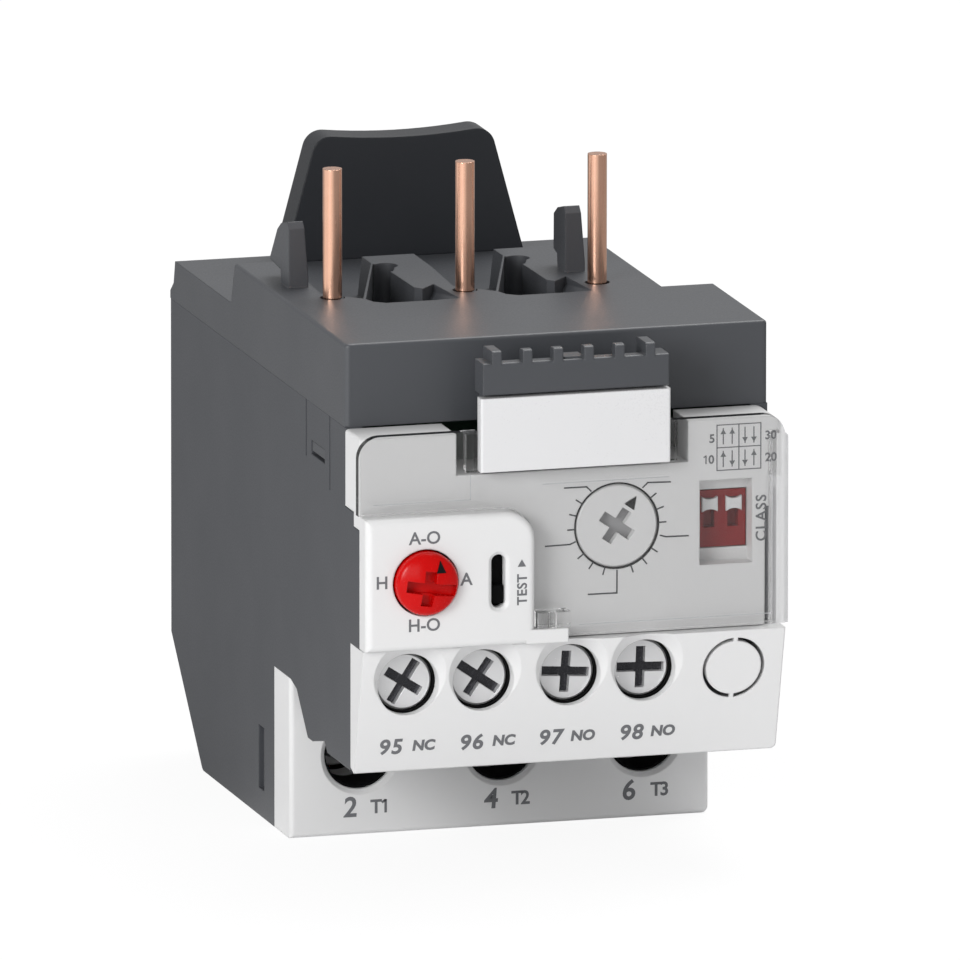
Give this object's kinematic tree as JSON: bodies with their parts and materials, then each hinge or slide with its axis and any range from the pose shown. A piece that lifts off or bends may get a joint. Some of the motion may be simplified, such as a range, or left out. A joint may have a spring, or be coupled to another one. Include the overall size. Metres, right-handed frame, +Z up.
{
  "type": "thermal overload relay",
  "caption": "Thermal overload relay with copper line pins above, load clamps below, and a setting dial, class switch, reset knob and auxiliary terminals on a front with a hinged clear cover.",
  "frame": {"origin": "on the base plane, in the middle of the width, straight below the row of line pins", "axes": "+X to the right seen from the front, +Y to the rear, +Z up along the line pins"},
  "size_m": [0.046, 0.0774, 0.0699],
  "materials": {
    "casing_grey": "fine moulded texture",
    "dark_plastic": "fine moulded texture",
    "white_plastic": "satin moulded",
    "light_plastic": "satin moulded",
    "label_white": "smooth",
    "clear_plastic": "clear moulded plastic",
    "red_plastic": "satin moulded",
    "switch_red": "moulded",
    "copper": "drawn copper, bright",
    "contact_copper": "stamped, bright",
    "plated_steel": "zinc plated",
    "spring_steel": "drawn wire",
    "component_black": "moulded",
    "board_green": "solder mask",
    "winding": "enamelled wire"
  },
  "bodies": {
    "casing": {"main_housing": "casing_grey", "top_cap": "casing_grey", "support_tab": "dark_plastic", "front_housing": "white_plastic", "aux_terminal_block": "white_plastic", "terminal_shroud": "light_plastic", "marker_holder": "casing_grey", "label_plate": "label_white", "reset_spring": "spring_steel", "setting_potentiometer": "component_black", "class_switch_body": "switch_red", "main_circuit_board": "board_green", "transformer_board": "board_green", "trip_coil": "winding", "line_conductor_1": "copper", "line_conductor_2": "copper", "line_conductor_3": "copper", "current_transformer_1": "component_black", "current_transformer_2": "component_black", "current_transformer_3": "component_black", "aux_contact_1": "contact_copper", "aux_contact_2": "contact_copper", "aux_contact_3": "contact_copper", "aux_contact_4": "contact_copper"},
    "cover": {"clear_cover": "clear_plastic"},
    "reset_stem": {"reset_plunger": "white_plastic"},
    "reset_head": {"reset_knob": "red_plastic"},
    "test_slide": {"test_slider": "dark_plastic"},
    "dial": {"setting_dial": "white_plastic"},
    "class_switch_1": {"class_slider_1": "label_white"},
    "class_switch_2": {"class_slider_2": "label_white"},
    "trip_bar": {"contact_carrier": "dark_plastic", "closed_contact_bridge": "contact_copper", "open_contact_bridge": "contact_copper", "trip_plunger": "plated_steel"},
    "load_screw_1": {"load_screw_1": "plated_steel"},
    "load_clamp_1": {"load_clamp_1": "plated_steel"},
    "load_screw_2": {"load_screw_2": "plated_steel"},
    "load_clamp_2": {"load_clamp_2": "plated_steel"},
    "load_screw_3": {"load_screw_3": "plated_steel"},
    "load_clamp_3": {"load_clamp_3": "plated_steel"},
    "aux_screw_1": {"aux_screw_1": "plated_steel"},
    "aux_clamp_1": {"aux_clamp_1": "plated_steel"},
    "aux_screw_2": {"aux_screw_2": "plated_steel"},
    "aux_clamp_2": {"aux_clamp_2": "plated_steel"},
    "aux_screw_3": {"aux_screw_3": "plated_steel"},
    "aux_clamp_3": {"aux_clamp_3": "plated_steel"},
    "aux_screw_4": {"aux_screw_4": "plated_steel"},
    "aux_clamp_4": {"aux_clamp_4": "plated_steel"}
  },
  "joints": [
    {"name": "cover_hinge", "type": "hinge", "parent": "casing", "child": "cover", "pos_m": [0.0217, -0.0273, 0.0361], "axis": [0, 0, 1], "range_deg": [0, 95]},
    {"name": "reset_push", "type": "slide", "parent": "casing", "child": "reset_stem", "axis": [0, 1, 0], "range_m": [0, 0.002], "stiffness_N_per_m": 60, "springref_m": -0.02, "deforming": ["reset_spring"]},
    {"name": "reset_turn", "type": "hinge", "parent": "reset_stem", "child": "reset_head", "pos_m": [-0.0162, -0.03, 0.0328], "axis": [0, 1, 0], "range_deg": [-40, 230]},
    {"name": "test_push", "type": "slide", "parent": "casing", "child": "test_slide", "axis": [0, 0, 1], "range_m": [0, 0.002], "stiffness_N_per_m": 60, "springref_m": -0.01},
    {"name": "dial_turn", "type": "hinge", "parent": "casing", "child": "dial", "pos_m": [0.0048, -0.027, 0.03705], "axis": [0, 1, 0], "range_deg": [0, 287]},
    {"name": "class_slide_1", "type": "slide", "parent": "casing", "child": "class_switch_1", "axis": [0, 0, -1], "range_m": [0, 0.0016]},
    {"name": "class_slide_2", "type": "slide", "parent": "casing", "child": "class_switch_2", "axis": [0, 0, -1], "range_m": [0, 0.0016]},
    {"name": "trip_slide", "type": "slide", "parent": "casing", "child": "trip_bar", "axis": [0, 0, 1], "range_m": [0, 0.002]},
    {"name": "load_screw_turn_1", "type": "hinge", "parent": "casing", "child": "load_screw_1", "pos_m": [-0.01495, 0.013, 0.0085], "axis": [0, 1, 0], "range_deg": [0, 1620]},
    {"name": "load_clamp_slide_1", "type": "slide", "parent": "casing", "child": "load_clamp_1", "axis": [0, -1, 0], "range_m": [0, 0.00315]},
    {"name": "load_screw_turn_2", "type": "hinge", "parent": "casing", "child": "load_screw_2", "pos_m": [0.00025, 0.013, 0.0085], "axis": [0, 1, 0], "range_deg": [0, 1620]},
    {"name": "load_clamp_slide_2", "type": "slide", "parent": "casing", "child": "load_clamp_2", "axis": [0, -1, 0], "range_m": [0, 0.00315]},
    {"name": "load_screw_turn_3", "type": "hinge", "parent": "casing", "child": "load_screw_3", "pos_m": [0.01545, 0.013, 0.0085], "axis": [0, 1, 0], "range_deg": [0, 1620]},
    {"name": "load_clamp_slide_3", "type": "slide", "parent": "casing", "child": "load_clamp_3", "axis": [0, -1, 0], "range_m": [0, 0.00315]},
    {"name": "aux_screw_turn_1", "type": "hinge", "parent": "casing", "child": "aux_screw_1", "pos_m": [-0.0173, -0.024, 0.0216], "axis": [0, 1, 0], "range_deg": [0, 1152]},
    {"name": "aux_clamp_slide_1", "type": "slide", "parent": "casing", "child": "aux_clamp_1", "axis": [0, -1, 0], "range_m": [0, 0.0016]},
    {"name": "aux_screw_turn_2", "type": "hinge", "parent": "casing", "child": "aux_screw_2", "pos_m": [-0.0093, -0.024, 0.0216], "axis": [0, 1, 0], "range_deg": [0, 1152]},
    {"name": "aux_clamp_slide_2", "type": "slide", "parent": "casing", "child": "aux_clamp_2", "axis": [0, -1, 0], "range_m": [0, 0.0016]},
    {"name": "aux_screw_turn_3", "type": "hinge", "parent": "casing", "child": "aux_screw_3", "pos_m": [-0.00005, -0.024, 0.0216], "axis": [0, 1, 0], "range_deg": [0, 1152]},
    {"name": "aux_clamp_slide_3", "type": "slide", "parent": "casing", "child": "aux_clamp_3", "axis": [0, -1, 0], "range_m": [0, 0.0016]},
    {"name": "aux_screw_turn_4", "type": "hinge", "parent": "casing", "child": "aux_screw_4", "pos_m": [0.00795, -0.024, 0.0216], "axis": [0, 1, 0], "range_deg": [0, 1152]},
    {"name": "aux_clamp_slide_4", "type": "slide", "parent": "casing", "child": "aux_clamp_4", "axis": [0, -1, 0], "range_m": [0, 0.0016]}
  ],
  "couplings": [
    {"joint": "load_clamp_slide_1", "follows": "load_screw_turn_1", "m_per_rad": 0.00011141},
    {"joint": "load_clamp_slide_2", "follows": "load_screw_turn_2", "m_per_rad": 0.00011141},
    {"joint": "load_clamp_slide_3", "follows": "load_screw_turn_3", "m_per_rad": 0.00011141},
    {"joint": "aux_clamp_slide_1", "follows": "aux_screw_turn_1", "m_per_rad": 0.000079577},
    {"joint": "aux_clamp_slide_2", "follows": "aux_screw_turn_2", "m_per_rad": 0.000079577},
    {"joint": "aux_clamp_slide_3", "follows": "aux_screw_turn_3", "m_per_rad": 0.000079577},
    {"joint": "aux_clamp_slide_4", "follows": "aux_screw_turn_4", "m_per_rad": 0.000079577}
  ]
}
